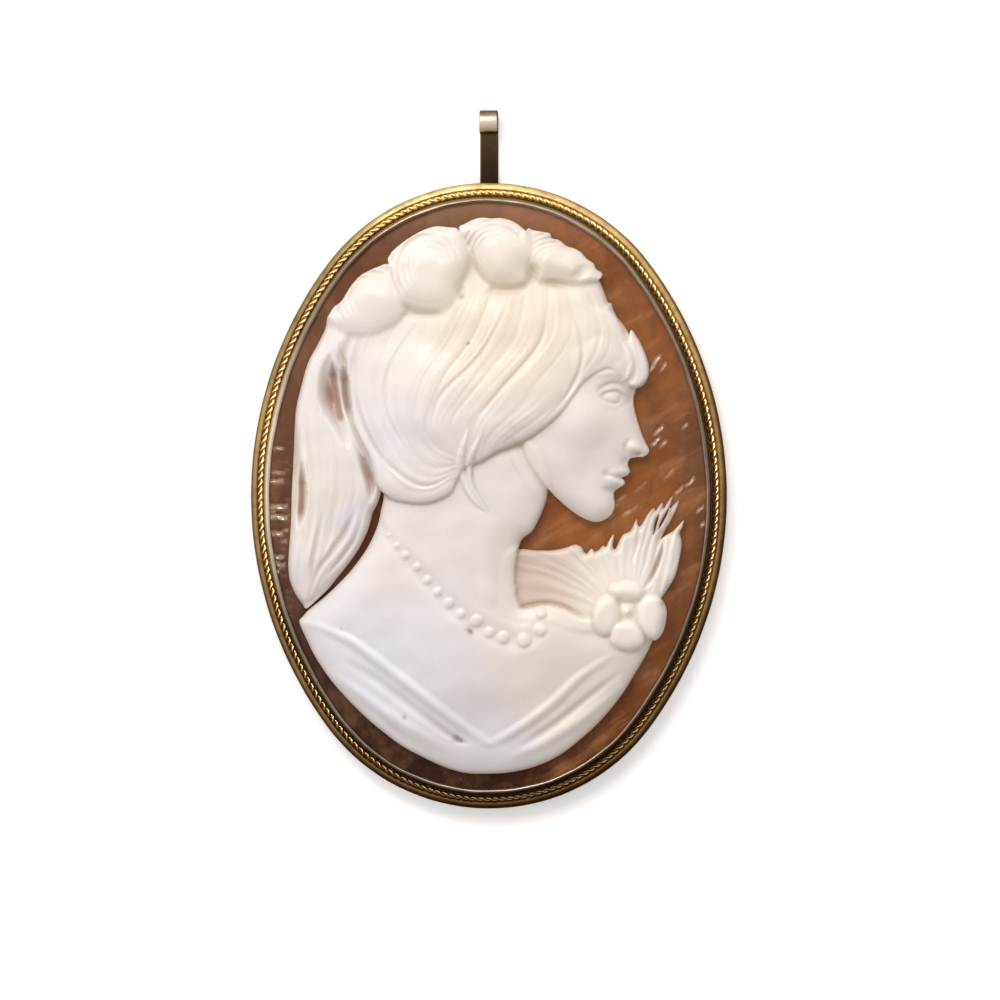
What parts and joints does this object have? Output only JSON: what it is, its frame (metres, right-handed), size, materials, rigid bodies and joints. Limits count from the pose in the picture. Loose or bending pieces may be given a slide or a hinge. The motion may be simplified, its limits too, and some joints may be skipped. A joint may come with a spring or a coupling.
{
  "type": "shell cameo pendant",
  "caption": "Oval shell cameo with a lady's head and bust, a plume and a flower, in a metal setting with a twisted wire border and a hinged bail.",
  "frame": {"origin": "centre of the whole part's box, bail included, in the plane that the setting's back rim lies in", "axes": "+Z out of the carved face, +Y towards the bail, +X to the viewer's right; it lies on its back"},
  "size_m": [0.035, 0.0514, 0.0068],
  "materials": {
    "setting_metal": "polished gold-coloured metal, worn",
    "wire_metal": "polished gold-coloured twisted wire",
    "brown_shell": "polished sienna-brown shell layer",
    "white_shell": "carved ivory-white shell layer, satin",
    "bail_metal": "champagne-coloured metal, polished and worn",
    "pin_metal": "plain drawn metal"
  },
  "bodies": {
    "cameo": {"setting": "setting_metal", "twisted_wire": "wire_metal", "shell_ground": "brown_shell", "shell_relief": "white_shell", "hinge_pin": "pin_metal"},
    "bail": {"bail": "bail_metal"}
  },
  "joints": [
    {"name": "bail_fold", "type": "hinge", "parent": "cameo", "child": "bail", "pos_m": [0, 0.01962, 0.0007], "axis": [1, 0, 0], "range_deg": [-150, 0]}
  ]
}
